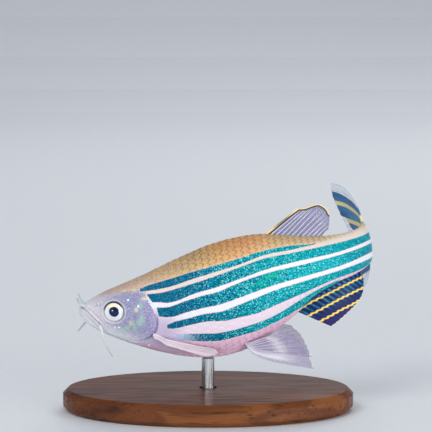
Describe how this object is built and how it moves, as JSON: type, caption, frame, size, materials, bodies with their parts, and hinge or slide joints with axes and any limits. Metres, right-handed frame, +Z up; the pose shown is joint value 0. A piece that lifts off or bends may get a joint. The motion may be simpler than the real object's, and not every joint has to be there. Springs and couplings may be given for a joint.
{
  "type": "zebra danio model on display stand",
  "caption": "Still, life-size zebra danio, a full-grown female curving her tail away, held by one slim rod over a flat oval base.",
  "frame": {"origin": "centre of the stand base's underside, below the rod", "axes": "+Z up from the underside, -X towards the fish's snout, -Y towards the fish's left side, which the picture shows"},
  "size_m": [0.0366, 0.0243, 0.025],
  "materials": {
    "head_skin": "pearly, wet-looking skin",
    "flank_skin": "fine scales, teal stripes on silvery white, golden-brown back",
    "eye": "clear, glossy cornea over a cream iris and a dark pupil",
    "barbel": "smooth, pale",
    "clear_fin": "translucent membrane with pale rays",
    "dark_fin": "blue membrane with yellow stripes",
    "stand_wood": "dark, satin varnish",
    "stand_metal": "satin"
  },
  "bodies": {
    "root": {"head": "head_skin", "lower_jaw": "head_skin", "gill_cover_left": "head_skin", "gill_cover_right": "head_skin", "eye_left": "eye", "eye_right": "eye", "snout_barbel_left": "barbel", "snout_barbel_right": "barbel", "mouth_barbel_left": "barbel", "mouth_barbel_right": "barbel", "trunk": "flank_skin", "tail_stalk": "flank_skin", "dorsal_fin": "clear_fin", "anal_fin": "dark_fin", "tail_fin": "dark_fin", "pectoral_fin_left": "clear_fin", "pectoral_fin_right": "clear_fin", "pelvic_fin_left": "clear_fin", "pelvic_fin_right": "clear_fin", "stand_base": "stand_wood", "stand_rod": "stand_metal"}
  },
  "joints": []
}
